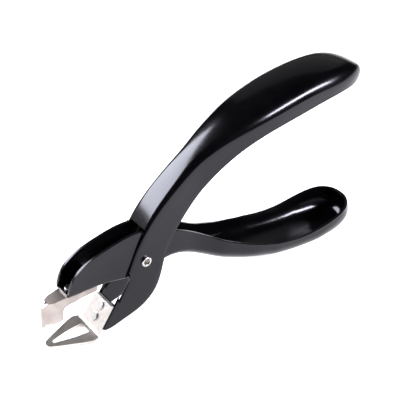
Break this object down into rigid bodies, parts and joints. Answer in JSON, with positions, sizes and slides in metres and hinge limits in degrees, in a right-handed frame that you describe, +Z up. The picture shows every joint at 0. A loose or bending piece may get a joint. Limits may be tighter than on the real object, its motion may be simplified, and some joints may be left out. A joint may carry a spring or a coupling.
{
  "type": "staple remover",
  "caption": "Plier-type staple remover: crossing pressed-steel levers on a sprung pivot rivet, a flat triangular lifting loop below and a folded beak blade above.",
  "frame": {"origin": "middle of the footprint, on the surface the tool stands on", "axes": "+Z up, +X from the jaws towards the ends of the handles, Y along the pivot rivet"},
  "size_m": [0.172, 0.0274, 0.0943],
  "materials": {
    "black_enamel": "gloss",
    "bright_steel": "satin",
    "nickel": "polished",
    "spring_steel": "drawn"
  },
  "bodies": {
    "upper_handle": {"long_lever": "black_enamel", "lifting_blade": "bright_steel", "lifting_blade_rivet_upper": "nickel", "lifting_blade_rivet_lower": "nickel", "pivot_rivet": "nickel", "return_spring": "spring_steel"},
    "lower_handle": {"short_lever": "black_enamel", "beak_blade": "bright_steel", "beak_blade_rivet_front": "nickel", "beak_blade_rivet_rear": "nickel"}
  },
  "joints": [
    {"name": "lever_pivot", "type": "hinge", "parent": "upper_handle", "child": "lower_handle", "pos_m": [-0.03855, 0, 0.03], "axis": [0, -1, 0], "range_deg": [0, 15], "stiffness_Nm_per_rad": 0.3, "springref_deg": -40.11, "deforming": ["return_spring"]}
  ]
}
